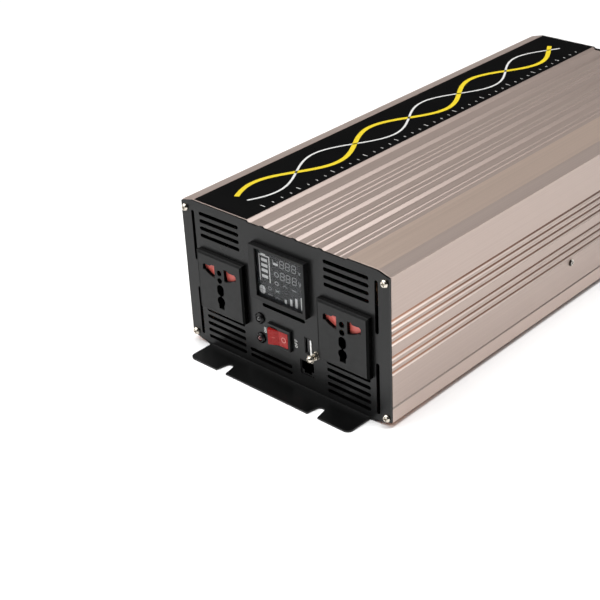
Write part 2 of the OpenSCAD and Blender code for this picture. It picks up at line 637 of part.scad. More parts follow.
module main_board() {
  color([0.10, 0.30, 0.16]) difference() {
    box([-94, -196, board_z], [94, 206, pcb]);
    for (p = standoff_xy) translate([p[0], p[1], board_z - 1]) cylinder(r = 1.6, h = 4);
  }
}

module board_standoffs() {
  color([0.78, 0.62, 0.30]) for (p = standoff_xy) translate([p[0], p[1], 0]) {
    translate([0, 0, 2.2]) cylinder(r = 3.2, h = board_z - 2.2, $fn = 6);
    translate([0, 0, board_z - e]) cylinder(r = 1.5, h = board_t + 0.02);
    translate([0, 0, pcb]) cylinder(r = 2.8, h = 1.8);
  }
}

module heat_sink(s) {
  color([0.62, 0.63, 0.64]) mirror([s < 0 ? 1 : 0, 0, 0]) difference() {
    union() {
      box([hw - wall - 6.5, -150, 30], [hw - wall, 160, 100]);
      for (z = [76, 83, 90, 97]) box([hw - wall - 26, -150, z], [hw - wall - 6.4, 160, z + 2.4]);
    }
    translate([hw - wall - 7, side_y, side_z]) rotate([0, 90, 0]) cylinder(r = 2.0, h = 9);
  }
}
module left_heat_sink() { heat_sink(-1); }
module right_heat_sink() { heat_sink(1); }

module power_transistors() {
  x = hw - wall - 6.5;
  color([0.06, 0.06, 0.06]) for (s = [-1, 1]) mirror([s < 0 ? 1 : 0, 0, 0]) for (i = [0 : 6]) translate([0, -130 + 45 * i, 0]) {
    box([x - 5, -8, 38], [x, 8, 59]);
    for (k = [-5.4, 0, 5.4]) box([x - 3, k - 0.6, pcb], [x - 2.4, k + 0.6, 38 + e]);
  }
}

module transformer_cores() {
  color([0.17, 0.17, 0.18]) for (p = trafo_xy) translate([p[0], p[1], pcb]) difference() {
    box([-28, -10.5, 0], [28, 10.5, 56]);
    for (s = [-1, 1]) box([min(s * 8.5, s * 19), -12, 9.5], [max(s * 8.5, s * 19), 12, 46.5]);
  }
}

module transformer_windings() {
  color([0.86, 0.70, 0.18]) for (p = trafo_xy) translate([p[0], p[1], pcb]) difference() {
    intersection() { box([-18.7, -20.7, 9.9], [18.7, 20.7, 46.1]); union() { box([-18.7, -11, 9], [18.7, 11, 47]); for (s = [-1, 1]) translate([0, s * 11, 9]) cylinder(r = 9.7, h = 38); box([-14, -20.7, 9], [14, 20.7, 47]); } }
    box([-8.8, -10.8, 9], [8.8, 10.8, 47]);
  }
}

module can(r, h) {
  cylinder(r = r, h = h - 0.8);
  translate([0, 0, h - 0.8 - e]) cylinder(r1 = r, r2 = r - 0.8, h = 0.8);
}
module bus_capacitors() { color([0.09, 0.10, 0.16]) for (p = cap_xy) translate([p[0], p[1], pcb]) can(15, 46); }
module input_capacitors() { color([0.10, 0.10, 0.12]) for (x = in_cap_x) translate([x, 124, pcb]) can(8, 32); }

module choke_core() {
  color([0.55, 0.52, 0.18]) translate([0, -100, pcb]) difference() {
    translate([0, 0, 3]) cylinder(r = 27, h = 20);
    translate([0, 0, 2]) cylinder(r = 15, h = 22);
  }
}
module choke_winding() {
  color([0.72, 0.40, 0.20]) translate([0, -100, pcb]) rotate([0, 0, 30]) rotate_extrude(angle = 300, $fn = 96)
    polygon([[12.2, 0], [29.8, 0], [29.8, 26], [12.2, 26], [12.2, 2.9], [14.8, 2.9], [14.8, 23.2], [27.2, 23.2], [27.2, 2.8], [12.2, 2.8]]);
}

module blade_fuses() {
  color([0.20, 0.55, 0.25]) for (x = in_cap_x) translate([x, 148, pcb]) {
    box([-8, -2.5, 4], [8, 2.5, 15]);
    for (k = [-5.5, 2.5]) box([k, -0.4, 0], [k + 3, 0.4, 4 + e]);
  }
}

// Leads from the outlet tails down to the board.
module ac_leads() {
  color([0.75, 0.12, 0.10]) for (s = [-1, 1]) for (t = [-1, 1]) let (x = s * outlet_x + t * 11, z = outlet_z + 13.4)
    tube(bez([x, yf + 27, z], [x, yf + 44, z], [x, -188, z - 14], [x, -188, pcb], 14), 1.4, 8, [1, 0, 0]);
}

module fan_leads() {
  color([0.10, 0.10, 0.10]) for (s = [-1, 1])
    tube(bez([s * (fan_x - 24), yc - 25, fan_z - 27], [s * (fan_x - 24), yc - 38, fan_z - 29], [s * (fan_x - 24), 196, 42], [s * (fan_x - 24), 196, pcb], 12), 1.1, 8, [1, 0, 0]);
}

upper_casing();
lower_casing();
top_label();
front_panel();
rear_panel();
front_panel_screws();
rear_panel_screws();
side_screws();
display_bezel();
display_window();
lcd_module();
control_board();
left_outlet_face();
left_outlet_shutter();
left_outlet_springs();
left_outlet_contacts();
left_outlet_back();
right_outlet_face();
right_outlet_shutter();
right_outlet_springs();
right_outlet_contacts();
right_outlet_back();
switch_housing();
switch_rocker();
switch_terminals();
led_holders();
indicator_leds();
usb_shell();
usb_tongue();
remote_jack();
remote_jack_contacts();
ground_screw();
ground_hardware();
left_fan_frame();
left_fan_rotor();
right_fan_frame();
right_fan_rotor();
fan_guards();
fan_screws();
positive_insulator();
negative_insulator();
positive_stud();
negative_stud();
terminal_nuts();
dc_bus_bars();
main_board();
board_standoffs();
left_heat_sink();
right_heat_sink();
power_transistors();
transformer_cores();
transformer_windings();
bus_capacitors();
input_capacitors();
choke_core();
choke_winding();
blade_fuses();
ac_leads();
fan_leads();
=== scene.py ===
import bpy
import math
from mathutils import Matrix, Vector


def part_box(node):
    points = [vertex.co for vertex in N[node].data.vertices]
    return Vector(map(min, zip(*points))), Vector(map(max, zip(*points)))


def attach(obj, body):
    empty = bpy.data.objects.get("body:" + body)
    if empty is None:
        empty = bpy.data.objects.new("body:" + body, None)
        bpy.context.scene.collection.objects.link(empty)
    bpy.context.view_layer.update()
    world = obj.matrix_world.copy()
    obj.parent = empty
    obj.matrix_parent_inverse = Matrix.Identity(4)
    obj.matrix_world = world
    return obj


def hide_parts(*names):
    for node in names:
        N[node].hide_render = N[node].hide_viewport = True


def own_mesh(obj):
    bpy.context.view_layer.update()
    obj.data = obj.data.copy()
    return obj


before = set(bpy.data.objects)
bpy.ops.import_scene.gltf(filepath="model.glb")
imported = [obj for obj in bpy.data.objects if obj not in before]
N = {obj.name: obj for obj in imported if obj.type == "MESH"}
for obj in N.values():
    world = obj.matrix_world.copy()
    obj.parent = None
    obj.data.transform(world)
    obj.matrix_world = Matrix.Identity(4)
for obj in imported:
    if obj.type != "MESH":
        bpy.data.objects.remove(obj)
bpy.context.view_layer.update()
MM = 0.001
YF = -240.0          # front face of the front panel, mm
YR = 240.0


scene = bpy.context.scene

# ------------------------------------------------------------------ materials


class Mat:
    """A principled material with helpers for procedural detail."""

    def __init__(self, name):
        self.m = bpy.data.materials.new(name)
        self.m.use_nodes = True
        self.t = self.m.node_tree
        self.t.nodes.clear()
        self.out = self.t.nodes.new("ShaderNodeOutputMaterial")
        self.b = self.t.nodes.new("ShaderNodeBsdfPrincipled")
        self.t.links.new(self.b.outputs[0], self.out.inputs[0])
        self.co = self.t.nodes.new("ShaderNodeTexCoord")

    def node(self, kind, **kw):
        n = self.t.nodes.new(kind)
        for k, v in kw.items():
            setattr(n, k, v)
        return n

    def link(self, a, b):
        self.t.links.new(a, b)

    def coords(self, scale):
        mp = self.node("ShaderNodeMapping")
        mp.inputs["Scale"].default_value = scale
        self.link(self.co.outputs["Object"], mp.inputs["Vector"])
        return mp.outputs[0]

    def noise(self, scale, detail=2.0, rough=0.5, stretch=(1, 1, 1)):
        n = self.node("ShaderNodeTexNoise")
        n.inputs["Scale"].default_value = 1.0
        n.inputs["Detail"].default_value = detail
        n.inputs["Roughness"].default_value = rough
        self.link(self.coords([scale * s for s in stretch]), n.inputs["Vector"])
        return n.outputs["Fac"]

    def remap(self, fac, lo, hi, a=0.3, b=0.7):
        r = self.node("ShaderNodeMapRange")
        r.inputs["From Min"].default_value = a
        r.inputs["From Max"].default_value = b
        r.inputs["To Min"].default_value = lo
        r.inputs["To Max"].default_value = hi
        self.link(fac, r.inputs["Value"])
        return r.outputs[0]

    def mix(self, fac, c0, c1):
        x = self.node("ShaderNodeMix", data_type="RGBA")
        for i, c in ((6, c0), (7, c1)):
            if hasattr(c, "is_linked"):
                self.link(c, x.inputs[i])
            else:
                x.inputs[i].default_value = (*c, 1.0)
        if hasattr(fac, "is_linked"):
            self.link(fac, x.inputs[0])
        else:
            x.inputs[0].default_value = fac
        return x.outputs[2]

    def tint(self, fac, c, f):
        """Multiplies colour c by f where fac is 1."""
        x = self.node("ShaderNodeMix", data_type="RGBA", blend_type="MULTIPLY")
        self.link(fac, x.inputs[0])
        self.link(c, x.inputs[6])
        x.inputs[7].default_value = (*f, 1.0)
        return x.outputs[2]

    def math(self, op, a, b=None):
        n = self.node("ShaderNodeMath", operation=op)
        for i, v in enumerate((a, b)):
            if v is None:
                continue
            if hasattr(v, "is_linked"):
                self.link(v, n.inputs[i])
            else:
                n.inputs[i].default_value = v
        return n.outputs[0]

    def bump(self, height, dist, strength=1.0, normal=None):
        n = self.node("ShaderNodeBump")
        n.inputs["Distance"].default_value = dist
        n.inputs["Strength"].default_value = strength
        self.link(height, n.inputs["Height"])
        if normal is not None:
            self.link(normal, n.inputs["Normal"])
        return n.outputs[0]

    def set(self, **kw):
        for k, v in kw.items():
            s = self.b.inputs[k.replace("_", " ")]
            if hasattr(v, "is_linked"):
                self.link(v, s)
            elif isinstance(v, (tuple, list)):
                s.default_value = (*v, 1.0) if s.type == "RGBA" and len(v) == 3 else v
            else:
                s.default_value = v
        return self


def plastic(name, c, rough=0.45, grain=1400, bump=0.00002, vary=0.12, spec=0.5, coat=0.0):
    """Moulded plastic: fine texture, faint blotches in tone and gloss."""
    k = Mat(name)
    fine, broad = k.noise(grain, 2), k.noise(38, 3)
    col = k.mix(k.remap(broad, 0, 1), [x * (1 - vary) for x in c], [min(1, x * (1 + vary)) for x in c])
    k.set(Base_Color=col, Roughness=k.remap(k.noise(210, 3), rough - 0.06, rough + 0.06), Specular_IOR_Level=spec, Coat_Weight=coat, Coat_Roughness=0.08)
    k.set(Normal=k.bump(fine, bump, 0.6))
    return k.m


def metal(name, c, rough=0.3, stretch=(1, 1, 1), grain=900, bump=0.000006, vary=0.08):
    """Bare or plated metal with drawn streaks."""
    k = Mat(name)
    fine, broad = k.noise(grain, 3, 0.6, stretch), k.noise(60, 3)
    col = k.mix(k.remap(broad, 0, 1), [x * (1 - vary) for x in c], [min(1, x * (1 + vary)) for x in c])
    k.set(Base_Color=col, Metallic=1.0, Roughness=k.remap(fine, max(0.04, rough - 0.08), rough + 0.08))
    k.set(Normal=k.bump(fine, bump, 0.5))
    return k.m


def casing_metal(name, c, painted_light_lift=1.0, rough=0.40, under=False):
    """Satin anodised extrusion: die lines along its length and a fine blasted grain, with painted shade and painted
    highlights set by place and facing.
    """
    k = Mat(name)
    grain = k.noise(3200, 2, 0.55)
    lines = k.noise(1.0, 3, 0.6, (950, 2.2, 950))
    broad = k.noise(7, 2, 0.5, (1, 0.35, 1))
    # the lift factor scales every tone up: painted light on the lower casing, a painted highlight on the bevelled edges
    dark = [x * 0.90 * painted_light_lift for x in c]
    light = [min(1.0, x * 1.09 * painted_light_lift) for x in c]
    col = k.mix(k.remap(lines, 0, 1, 0.25, 0.75), dark, light)
    col = k.mix(k.remap(grain, 0.0, 0.5, 0.3, 0.7), col, [x * 0.82 * painted_light_lift for x in c])
    col = k.mix(k.remap(broad, 0.0, 0.22), col, [min(1.0, x * 1.06 * painted_light_lift) for x in (c[0], c[1] * 0.985, c[2] * 0.975)])
    # painted shade: the recesses of the side grooves are coloured warmer and darker, the more so towards the rear
    sep = k.node("ShaderNodeSeparateXYZ")
    k.link(k.co.outputs["Object"], sep.inputs[0])
    depth = k.remap(k.math("ABSOLUTE", sep.outputs["X"]), 1.0, 0.0, 0.1037, 0.1041)
    low = k.remap(sep.outputs["Z"], 1.0, 0.0, 0.100, 0.101)
    nrm = k.node("ShaderNodeSeparateXYZ")
    k.link(k.co.outputs["Normal"], nrm.inputs[0])
    painted_groove_shade = k.mix(k.remap(sep.outputs["Y"], 0.0, 1.0, -0.2380, -0.1460), [x * f * painted_light_lift for x, f in zip(c, (0.86, 0.545, 0.375))], [x * f * painted_light_lift for x, f in zip(c, (0.34, 0.175, 0.095))])
    painted_groove_shade = k.mix(k.remap(sep.outputs["Y"], 0.0, 1.0, -0.1460, 0.0200), painted_groove_shade, [x * f * painted_light_lift for x, f in zip(c, (0.21, 0.105, 0.055))])
    col = k.mix(k.math("MULTIPLY", depth, low), col, painted_groove_shade)
    # painted highlight: their sloping lips are coloured bright, brightest at the front; painted shade: the open seam
    # above the tray is coloured dark
    lip = k.math("MULTIPLY", k.remap(nrm.outputs["Z"], 0.0, 1.0, 0.58, 0.66), k.remap(k.math("ABSOLUTE", sep.outputs["X"]), 0.0, 1.0, 0.1039, 0.1043))
    painted_lip_highlight = k.mix(k.remap(sep.outputs["Y"], 0.0, 1.0, -0.2380, -0.1460), [min(1.0, x * f * painted_light_lift) for x, f in zip(c, (1.50, 1.60, 1.64))], [min(1.0, x * f * painted_light_lift) for x, f in zip(c, (1.29, 1.37, 1.41))])
    col = k.mix(k.math("MULTIPLY", lip, low), col, painted_lip_highlight)
    painted_seam_shade = k.math("MULTIPLY", k.remap(sep.outputs["Z"], 0.0, 1.0, 0.0164, 0.0168), k.remap(sep.outputs["Z"], 1.0, 0.0, 0.0180, 0.0184))
    col = k.mix(k.math("MULTIPLY", painted_seam_shade, 0.72), col, [x * f for x, f in zip(c, (0.20, 0.17, 0.15))])
    # painted shade: the broad sides are coloured a shade darker than the top, and a little darker again towards the
    # rear
    painted_side_shade = k.remap(k.math("ABSOLUTE", nrm.outputs["X"]), 0.0, 1.0, 0.90, 0.95)
    col = k.tint(painted_side_shade, col, (0.819, 0.813, 0.806))
    col = k.tint(k.math("MULTIPLY", painted_side_shade, k.remap(sep.outputs["Y"], 0.0, 1.0, -0.20, 0.05)), col, (0.962, 0.952, 0.942))
    # painted light: the right platform is coloured a little lighter, and the shallow slope beside it lighter and a
    # little greyer
    painted_platform_light = k.math("MULTIPLY", k.remap(nrm.outputs["Z"], 0.0, 1.0, 0.98, 0.99), k.remap(sep.outputs["X"], 0.0, 1.0, 0.0645, 0.0650))
    painted_platform_light = k.math("MULTIPLY", painted_platform_light, k.remap(sep.outputs["Z"], 0.0, 1.0, 0.1265, 0.1270))
    col = k.tint(painted_platform_light, col, (1.20, 1.19, 1.13))
    # painted shade: the ribbed part of the top is coloured a little darker and less warm
    painted_rib_shade = k.math("MULTIPLY", k.remap(sep.outputs["Z"], 0.0, 1.0, 0.1228, 0.1232), k.remap(sep.outputs["X"], 1.0, 0.0, 0.0640, 0.0645))
    col = k.tint(k.math("MULTIPLY", painted_rib_shade, k.remap(sep.outputs["X"], 0.0, 1.0, -0.0360, -0.0350)), col, (0.94, 0.955, 0.965))
    painted_slope_light = k.math("MULTIPLY", k.remap(nrm.outputs["X"], 0.0, 1.0, 0.14, 0.20), k.remap(nrm.outputs["X"], 1.0, 0.0, 0.34, 0.40))
    painted_slope_light = k.math("MULTIPLY", painted_slope_light, k.remap(sep.outputs["Z"], 0.0, 1.0, 0.1240, 0.1245))
    col = k.tint(painted_slope_light, col, (1.07, 1.10, 1.115))
    # painted shade: the faces inside the shell are coloured near black
    painted_inside_shade = k.remap(k.math("ABSOLUTE", sep.outputs["X"]), 1.0, 0.0, 0.1028, 0.1030)
    if under:
        painted_inside_shade = k.math("MULTIPLY", painted_inside_shade, k.remap(nrm.outputs["Z"], 0.0, 1.0, 0.15, 0.25))
    else:
        painted_inside_shade = k.math("MULTIPLY", painted_inside_shade, k.remap(sep.outputs["Z"], 1.0, 0.0, 0.1224, 0.1226))
    col = k.mix(painted_inside_shade, col, (0.012, 0.011, 0.010))
    k.set(Base_Color=col, Metallic=0.55, Roughness=k.remap(lines, rough - 0.05, rough + 0.05, 0.25, 0.75), Specular_IOR_Level=0.3,
          Coat_Weight=0.4, Coat_Roughness=0.2)
    n1 = k.bump(grain, 0.00003, 0.5)
    k.set(Normal=k.bump(lines, 0.000012, 0.5, n1))
    return k.m


def coat_paint(name, c, rough=0.5, vary=0.15, spec=0.325):
    """Powder coat: fine orange peel with rare specks of dust."""
    k = Mat(name)
    peel, broad, speck = k.noise(1500, 2), k.noise(24, 4), k.noise(2600, 1)
    col = k.mix(k.remap(broad, 0, 1), [x * (1 - vary) for x in c], [x * (1 + vary) for x in c])
    col = k.mix(k.remap(speck, 0, 0.12, 0.72, 0.8), col, (0.10, 0.105, 0.105))
    sep = k.node("ShaderNodeSeparateXYZ")
    k.link(k.co.outputs["Object"], sep.inputs[0])
    bend = k.math("MULTIPLY", k.remap(sep.outputs["Z"], 1.0, 0.0, 0.0026, 0.0030), k.remap(k.math("ABSOLUTE", sep.outputs["Y"]), 1.0, 0.0, 0.2420, 0.2424))
    dull = k.math("ADD", k.remap(broad, rough - 0.05, rough + 0.05), k.math("MULTIPLY", bend, 0.5))
    # painted shade: the bottom 2 mm of the panel, its foot, is coloured darker
    col = k.tint(k.remap(sep.outputs["Z"], 1.0, 0.0, 0.0016, 0.0020), col, (0.45, 0.46, 0.46))
    k.set(Base_Color=col, Roughness=dull, Specular_IOR_Level=spec)
    k.set(Normal=k.bump(peel, 0.00004, 0.7))
    return k.m


M = {}
ALU = (0.555, 0.440, 0.388)
M["casing"] = casing_metal("casing_anodised", ALU)
# lighter copies: the bevelled edges carry a painted highlight, the lower casing painted light
M["casing_edge"] = casing_metal("casing_edge", ALU, 1.10, 0.34)
M["lower"] = casing_metal("lower_casing_anodised_painted_light", ALU, 1.26, under=True)
M["panel"] = coat_paint("panel_powder_coat", (0.0024, 0.0026, 0.0026), 0.32)
# the bevelled panel edges take a lighter copy of the coat: painted highlight
M["panel_edge"] = coat_paint("panel_edge_painted_highlight", (0.0034, 0.0037, 0.0037), 0.36)
M["black"] = plastic("black_plastic", (0.0036, 0.0037, 0.0038), 0.38)
M["trim"] = plastic("trim_black", (0.0030, 0.0031, 0.0032), 0.38, spec=0.26)
M["deep_black"] = plastic("deep_black_plastic", (0.0028, 0.0028, 0.0030), 0.34)
M["nickel"] = metal("nickel_screws", (0.64, 0.59, 0.51), 0.22)
M["steel"] = metal("bright_steel", (0.72, 0.72, 0.70), 0.20)
M["brass"] = metal("brass", (0.80, 0.60, 0.30), 0.26)
M["copper"] = metal("copper", (0.80, 0.45, 0.28), 0.32)
M["sink"] = metal("sink_aluminium", (0.72, 0.73, 0.74), 0.38, (1, 0.02, 1), 800)
M["shutter"] = plastic("shutter_red", (0.82, 0.155, 0.127), 0.34, vary=0.08)
M["board"] = plastic("board_green", (0.020, 0.105, 0.045), 0.30, grain=500, coat=0.3)
M["board_dark"] = plastic("board_dark_green", (0.004, 0.016, 0.008), 0.45, grain=500, spec=0.2)
M["ferrite"] = plastic("ferrite_grey", (0.045, 0.046, 0.050), 0.62, grain=900, bump=0.00004)
M["tape"] = plastic("winding_tape", (0.70, 0.47, 0.07), 0.34, grain=300, bump=0.00003)
M["sleeve"] = plastic("capacitor_sleeve", (0.018, 0.022, 0.050), 0.28)
M["choke"] = plastic("choke_powder", (0.34, 0.29, 0.05), 0.5, bump=0.00004)
M["fuse"] = plastic("fuse_green", (0.04, 0.30, 0.08), 0.2)
M["lead_red"] = plastic("lead_red", (0.45, 0.03, 0.025), 0.35)
M["term_red"] = plastic("terminal_red", (0.42, 0.022, 0.020), 0.32)
M["tongue"] = plastic("tongue_grey", (0.012, 0.012, 0.0125), 0.4)

# outlet face: the flanks that look to the right are matt and carry painted shade: metallic over the near-black base, so
# they look darker than the front
k = Mat("outlet_black")
nrm = k.node("ShaderNodeSeparateXYZ")
k.link(k.co.outputs["Normal"], nrm.inputs[0])
painted_flank_shade = k.remap(nrm.outputs["X"], 0.0, 1.0, 0.14, 0.30)
k.set(Base_Color=k.mix(k.remap(k.noise(38, 3), 0, 1), (0.0035, 0.0037, 0.0036), (0.0045, 0.0047, 0.0046)), Metallic=painted_flank_shade,
      Roughness=k.math("ADD", k.remap(k.noise(210, 3), 0.34, 0.46), k.remap(nrm.outputs["X"], 0.5, 0.0, -0.30, -0.14)),
      Specular_IOR_Level=0.285, Normal=k.bump(k.noise(1400, 2), 0.00002, 0.6))
M["outlet"] = k.m

# side screws: nickel, with painted shade on the flank towards the front, coloured near black
k = Mat("side_screws_painted_shade")
nrm = k.node("ShaderNodeSeparateXYZ")
k.link(k.co.outputs["Normal"], nrm.inputs[0])
fine = k.noise(900, 3, 0.6)
k.set(Base_Color=k.mix(k.remap(nrm.outputs["Y"], 1.0, 0.0, -0.35, 0.05), (0.80, 0.75, 0.68), (0.030, 0.022, 0.017)), Metallic=0.5,
      Roughness=k.remap(fine, 0.30, 0.42), Normal=k.bump(fine, 0.000006, 0.5))
M["dark_screw"] = k.m

# jack: its face is like the panel; its bore carries painted shade, metallic over the near-black base so it shows black
k = Mat("jack_black")
sep = k.node("ShaderNodeSeparateXYZ")
k.link(k.co.outputs["Object"], sep.inputs[0])
k.set(Base_Color=k.mix(k.remap(k.noise(60, 3), 0, 1), (0.0020, 0.0021, 0.0021), (0.0028, 0.0029, 0.0029)),
      Metallic=k.remap(sep.outputs["Y"], 0.0, 1.0, -0.23895, -0.23880), Roughness=k.remap(k.noise(210, 3), 0.32, 0.42),
      Specular_IOR_Level=0.36, Normal=k.bump(k.noise(1400, 2), 0.00002, 0.6))
M["jack"] = k.m

k = Mat("label_film")
speck = k.noise(1900, 2)
k.set(Base_Color=k.mix(k.remap(k.noise(30, 3), 0, 1), (0.0028, 0.0028, 0.0029), (0.0040, 0.0039, 0.0039)),
      Roughness=k.remap(speck, 0.26, 0.36), Specular_IOR_Level=0.08, Normal=k.bump(speck, 0.000008, 0.5))
M["label"] = k.m

k = Mat("window_clear")
k.set(Base_Color=(0.10, 0.11, 0.12), Roughness=k.remap(k.noise(90, 3), 0.04, 0.10), Alpha=0.10, Specular_IOR_Level=0.4)
M["window"] = k.m

k = Mat("lcd_ground")
k.set(Base_Color=k.mix(k.remap(k.noise(30, 2), 0, 1), (0.006, 0.0063, 0.0066), (0.008, 0.0083, 0.0086)),
      Roughness=k.remap(k.noise(120, 2), 0.34, 0.38), Specular_IOR_Level=0.31)
M["lcd"] = k.m

k = Mat("rocker_red")
k.set(Base_Color=k.mix(k.remap(k.noise(120, 3), 0, 1), (0.315, 0.005, 0.004), (0.39, 0.010, 0.008)),
      Roughness=k.remap(k.noise(300, 3), 0.24, 0.32), Coat_Weight=0.0, Coat_Roughness=0.06, Specular_IOR_Level=0.25,
      Subsurface_Weight=0.15, Subsurface_Scale=0.002, Subsurface_Radius=(1.0, 0.2, 0.1),
      Normal=k.bump(k.noise(1100, 2), 0.00001, 0.4))
M["rocker"] = k.m


def ink(name, c, rough=0.45):
    q = Mat(name)
    q.set(Base_Color=q.mix(q.remap(q.noise(700, 3), 0, 1), [x * 0.9 for x in c], [min(1, x * 1.06) for x in c]),
          Roughness=q.remap(q.noise(900, 2), rough - 0.05, rough + 0.05), Normal=q.bump(q.noise(2400, 1), 0.000006, 0.4))
    return q.m


M["ink_white"] = ink("ink_white", (0.78, 0.78, 0.76))
M["ink_yellow"] = ink("ink_yellow", (0.86, 0.66, 0.02))
M["ink_red"] = ink("ink_red", (0.62, 0.035, 0.02))
M["ink_pink"] = ink("ink_pink", (0.60, 0.12, 0.10))
M["ink_pale"] = ink("ink_pale_pink", (0.80, 0.36, 0.32))
M["lcd_light"] = ink("lcd_segment", (0.64, 0.645, 0.64))
M["lcd_mid"] = ink("lcd_segment_mid", (0.29, 0.294, 0.298))
M["lcd_dim"] = ink("lcd_segment_dim", (0.15, 0.152, 0.155))
M["holder"] = plastic("holder_black", (0.0024, 0.0024, 0.0026), 0.30, vary=0.05, spec=0.22)

# lamps: a clear smoked one above, a red tinted one below
k = Mat("lamp_lens")
sep = k.node("ShaderNodeSeparateXYZ")
k.link(k.co.outputs["Object"], sep.inputs[0])
tone = k.mix(k.remap(k.noise(300, 2), 0, 1), (0.024, 0.024, 0.024), (0.032, 0.031, 0.031))
k.set(Base_Color=k.mix(k.remap(sep.outputs["Z"], 1.0, 0.0, 0.0375, 0.0385), tone, (0.085, 0.010, 0.011)),
      Roughness=k.remap(k.noise(500, 2), 0.10, 0.16), Coat_Weight=0.6, Coat_Roughness=0.08)
M["lamp"] = k.m

# port shell: only the folded lip is bright; the sunk walls carry painted shade, coloured near black
k = Mat("port_shell")
sep = k.node("ShaderNodeSeparateXYZ")
k.link(k.co.outputs["Object"], sep.inputs[0])
lip = k.math("MULTIPLY", k.remap(sep.outputs["X"], 0.0, 1.0, 0.02690, 0.02700), k.remap(sep.outputs["Y"], 1.0, 0.0, -0.23990, -0.23970))
fine = k.noise(900, 3, 0.6)
k.set(Base_Color=k.mix(lip, (0.004, 0.004, 0.004), (0.80, 0.79, 0.77)), Metallic=k.math("MULTIPLY", lip, 1.0),
      Roughness=k.remap(fine, 0.24, 0.34), Normal=k.bump(fine, 0.000006, 0.5))
M["port_shell"] = k.m

USE = {
    "upper_casing": ("casing", "casing_edge"), "lower_casing": ("lower", "casing_edge"), "top_label": ("label", "label"),
    "front_panel": ("panel", "panel_edge"), "rear_panel": ("panel", "panel_edge"),
    "front_panel_screws": ("nickel",), "rear_panel_screws": ("nickel",), "side_screws": ("dark_screw",),
    "display_bezel": ("trim",), "display_window": ("window",), "lcd_module": ("lcd",), "control_board": ("board_dark",),
    "switch_housing": ("trim",), "switch_rocker": ("rocker",), "switch_terminals": ("brass",), "led_holders": ("holder",),
    "indicator_leds": ("lamp",), "usb_shell": ("port_shell",), "usb_tongue": ("tongue",), "remote_jack": ("jack",),
    "remote_jack_contacts": ("brass",), "ground_screw": ("nickel",), "ground_hardware": ("nickel",),
    "left_fan_frame": ("black",), "right_fan_frame": ("black",), "left_fan_rotor": ("black",), "right_fan_rotor": ("black",),
    "fan_guards": ("steel",), "fan_screws": ("nickel",), "positive_insulator": ("term_red",), "negative_insulator": ("deep_black",),
    "positive_stud": ("brass",), "negative_stud": ("brass",), "terminal_nuts": ("nickel",), "dc_bus_bars": ("copper",),
    "main_board": ("board",), "board_standoffs": ("brass",), "left_heat_sink": ("sink",), "right_heat_sink": ("sink",),
    "power_transistors": ("deep_black",), "transformer_cores": ("ferrite",), "transformer_windings": ("tape",),
    "bus_capacitors": ("sleeve",), "input_capacitors": ("sleeve",), "choke_core": ("choke",), "choke_winding": ("copper",),
    "blade_fuses": ("fuse",), "ac_leads": ("lead_red",), "fan_leads": ("deep_black",),
}
for side in ("left", "right"):
    USE[side + "_outlet_face"] = ("outlet",)
    USE[side + "_outlet_shutter"] = ("shutter",)
    USE[side + "_outlet_springs"] = ("steel",)
    USE[side + "_outlet_contacts"] = ("brass",)
    USE[side + "_outlet_back"] = ("black",)

# rounding of the machined and moulded edges, in mm
SOFT = {
    "upper_casing": 0.18, "lower_casing": 0.2, "front_panel": 0.22, "rear_panel": 0.22, "display_bezel": 0.12, "switch_housing": 0.35,
    "switch_rocker": 0.45, "left_outlet_face": 0.2, "right_outlet_face": 0.2, "led_holders": 0.15, "remote_jack": 0.15,
    "front_panel_screws": 0.18, "rear_panel_screws": 0.18, "side_screws": 0.18, "ground_screw": 0.25, "ground_hardware": 0.15,
    "terminal_nuts": 0.3, "positive_insulator": 0.4, "negative_insulator": 0.4, "fan_screws": 0.18, "fan_guards": 0.3,
    "left_fan_frame": 0.3, "right_fan_frame": 0.3, "left_fan_rotor": 0.2, "right_fan_rotor": 0.2, "usb_shell": 0.08,
}
for name, obj in N.items():
    use = USE[name]
    obj.data.materials.clear()
    for u in use:
        obj.data.materials.append(M[u])
    if name in SOFT:
        w = obj.modifiers.new("weld", "WELD")
        w.merge_threshold = 0.000004
        b = obj.modifiers.new("edges", "BEVEL")
        b.width = SOFT[name] * MM
        b.segments = 2
        b.limit_method = "ANGLE"
        b.angle_limit = math.radians(28)
        b.use_clamp_overlap = True
        b.harden_normals = False
        if len(use) > 1:
            b.material = 1

# ------------------------------------------------------------------ small pieces


def add(name, verts, faces, mat, body="inverter", smooth=False):
    me = bpy.data.meshes.new(name)
    me.from_pydata([(v[0] * MM, v[1] * MM, v[2] * MM) for v in verts], [], faces)
    me.update()
    ob = bpy.data.objects.new(name, me)
    scene.collection.objects.link(ob)
    me.materials.append(M[mat])
    if smooth:
        for p in me.polygons:
            p.use_smooth = True
    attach(ob, body)
    return ob


